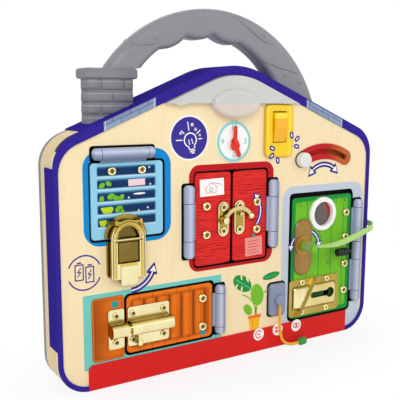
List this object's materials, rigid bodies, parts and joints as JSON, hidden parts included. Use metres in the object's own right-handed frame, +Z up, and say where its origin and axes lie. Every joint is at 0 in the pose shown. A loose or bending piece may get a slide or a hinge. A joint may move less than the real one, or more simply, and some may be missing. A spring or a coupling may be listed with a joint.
{
  "type": "latch board",
  "caption": "House-shaped wooden carry board with small hinged doors, each shut by another latch, with a lamp, clock, switch, arc slider and smoke-shaped handle",
  "frame": {"origin": "middle of the foot, halfway through the board's depth, on the surface it stands on", "axes": "+X to the right seen from the front, +Y from the front face to the back, +Z up"},
  "size_m": [0.3084, 0.0523, 0.2829],
  "materials": {
    "panel_wood": "printed, satin lacquer",
    "picture_wood": "printed, matt",
    "core_wood": "sanded, clear lacquer",
    "back_wood": "grey paint",
    "trim_indigo": "smooth",
    "band_red": "smooth",
    "smoke_grey": "soft gloss",
    "brick_grey": "soft gloss",
    "screw_steel": "bright zinc",
    "lamp_milk": "translucent",
    "board_green": "circuit board",
    "clock_white": "printed face",
    "hand_red": "smooth",
    "switch_yellow": "smooth",
    "rocker_yellow": "smooth",
    "track_red": "smooth",
    "knob_white": "smooth",
    "hinge_lilac": "smooth",
    "brass": "polished",
    "lock_gold": "printed gold",
    "flap_blue": "printed, satin lacquer",
    "door_red": "printed, satin lacquer",
    "gate_orange": "printed, satin lacquer",
    "door_green": "printed, satin lacquer",
    "ring_white": "smooth",
    "lens_clear": "clear plastic sheet",
    "key_green": "smooth, silver ferrule",
    "strap_green": "woven",
    "toggle_black": "ribbed",
    "anchor_grey": "smooth",
    "cord_orange": "braided",
    "bead_green": "smooth",
    "battery_grey": "moulded"
  },
  "bodies": {
    "board": {"front_panel": "panel_wood", "picture_board": "picture_wood", "core_board": "core_wood", "back_panel": "back_wood", "edge_trim": "trim_indigo", "base_band": "band_red", "handle_arch": "smoke_grey", "chimney": "brick_grey", "case_screws": "screw_steel", "lamp_housing": "lamp_milk", "lamp_dome": "lamp_milk", "lamp_board": "board_green", "clock_dial": "clock_white", "switch_plate": "switch_yellow", "slider_track": "track_red", "flap_hinge_base": "hinge_lilac", "red_hinge_bases": "hinge_lilac", "orange_hinge_base": "hinge_lilac", "green_hinge_base": "hinge_lilac", "hinge_pins": "screw_steel", "strike_plate": "brass", "bolt_keeper": "brass", "chain_anchor": "anchor_grey", "battery_box": "battery_grey", "battery_cover": "battery_grey", "chain_cord": "cord_orange", "chain_bead": "bead_green"},
    "hour": {"hour_hand": "hand_red"},
    "minute": {"minute_hand": "hand_red"},
    "rocker": {"switch_rocker": "rocker_yellow"},
    "slider": {"slider_knob": "knob_white"},
    "flap": {"blue_flap": "flap_blue", "flap_hinge_leaf": "hinge_lilac", "flap_screws": "brass", "hasp_plate": "brass"},
    "snap": {"hasp": "brass"},
    "left_door": {"red_door_left": "door_red", "red_left_hinge_leaf": "hinge_lilac", "red_left_screws": "brass", "hook_plate": "brass"},
    "swing_hook": {"hook": "brass"},
    "right_door": {"red_door_right": "door_red", "red_right_hinge_leaf": "hinge_lilac", "red_right_screws": "brass", "catch_plate": "brass"},
    "gate": {"orange_door": "gate_orange", "orange_hinge_leaf": "hinge_lilac", "orange_screws": "brass", "bolt_body": "brass"},
    "bolt": {"bolt_rod": "brass"},
    "front_door": {"green_door": "door_green", "green_hinge_leaf": "hinge_lilac", "green_screws": "brass", "porthole_ring": "ring_white", "porthole_lens": "lens_clear", "escutcheon": "lock_gold", "slide_plate": "brass", "toggle": "toggle_black", "key_strap": "strap_green"},
    "lock_key": {"key": "key_green"}
  },
  "joints": [
    {"name": "hour_turn", "type": "hinge", "parent": "board", "child": "hour", "pos_m": [-0.001, -0.0165, 0.1797], "axis": [0, 1, 0], "continuous": true},
    {"name": "minute_turn", "type": "hinge", "parent": "board", "child": "minute", "pos_m": [-0.001, -0.0165, 0.1797], "axis": [0, 1, 0], "continuous": true},
    {"name": "rocker_tip", "type": "hinge", "parent": "board", "child": "rocker", "pos_m": [0.0436, -0.0165, 0.1904], "axis": [-1, 0, 0], "range_deg": [0, 12]},
    {"name": "slider_arc", "type": "hinge", "parent": "board", "child": "slider", "pos_m": [0.0946, -0.0165, 0.1164], "axis": [0, 1, 0], "range_deg": [0, 57.2]},
    {"name": "flap_hinge", "type": "hinge", "parent": "board", "child": "flap", "pos_m": [-0.097, -0.0185, 0.1742], "axis": [-1, 0, 0], "range_deg": [0, 105]},
    {"name": "hasp_pivot", "type": "hinge", "parent": "flap", "child": "snap", "pos_m": [-0.096, -0.0211, 0.1244], "axis": [-1, 0, 0], "range_deg": [0, 150]},
    {"name": "red_left_hinge", "type": "hinge", "parent": "board", "child": "left_door", "pos_m": [-0.0427, -0.0185, 0.1186], "axis": [0, 0, -1], "range_deg": [0, 110]},
    {"name": "hook_lift", "type": "hinge", "parent": "left_door", "child": "swing_hook", "pos_m": [-0.0106, -0.0165, 0.1175], "axis": [0, -1, 0], "range_deg": [0, 95]},
    {"name": "red_right_hinge", "type": "hinge", "parent": "board", "child": "right_door", "pos_m": [0.0393, -0.0185, 0.1186], "axis": [0, 0, 1], "range_deg": [0, 110]},
    {"name": "gate_hinge", "type": "hinge", "parent": "board", "child": "gate", "pos_m": [-0.0134, -0.0185, 0.0444], "axis": [0, 0, 1], "range_deg": [0, 110]},
    {"name": "bolt_slide", "type": "slide", "parent": "gate", "child": "bolt", "axis": [-1, 0, 0], "range_m": [-0.01, 0.006]},
    {"name": "front_door_hinge", "type": "hinge", "parent": "board", "child": "front_door", "pos_m": [0.1364, -0.0185, 0.0758], "axis": [0, 0, 1], "range_deg": [0, 110], "deforming": ["key_strap"]},
    {"name": "key_turn", "type": "hinge", "parent": "front_door", "child": "lock_key", "pos_m": [0.0722, -0.0165, 0.0872], "axis": [0, 1, 0], "range_deg": [-90, 90]}
  ],
  "couplings": [
    {"joint": "red_right_hinge", "follows": "red_left_hinge", "ratio": 1}
  ]
}
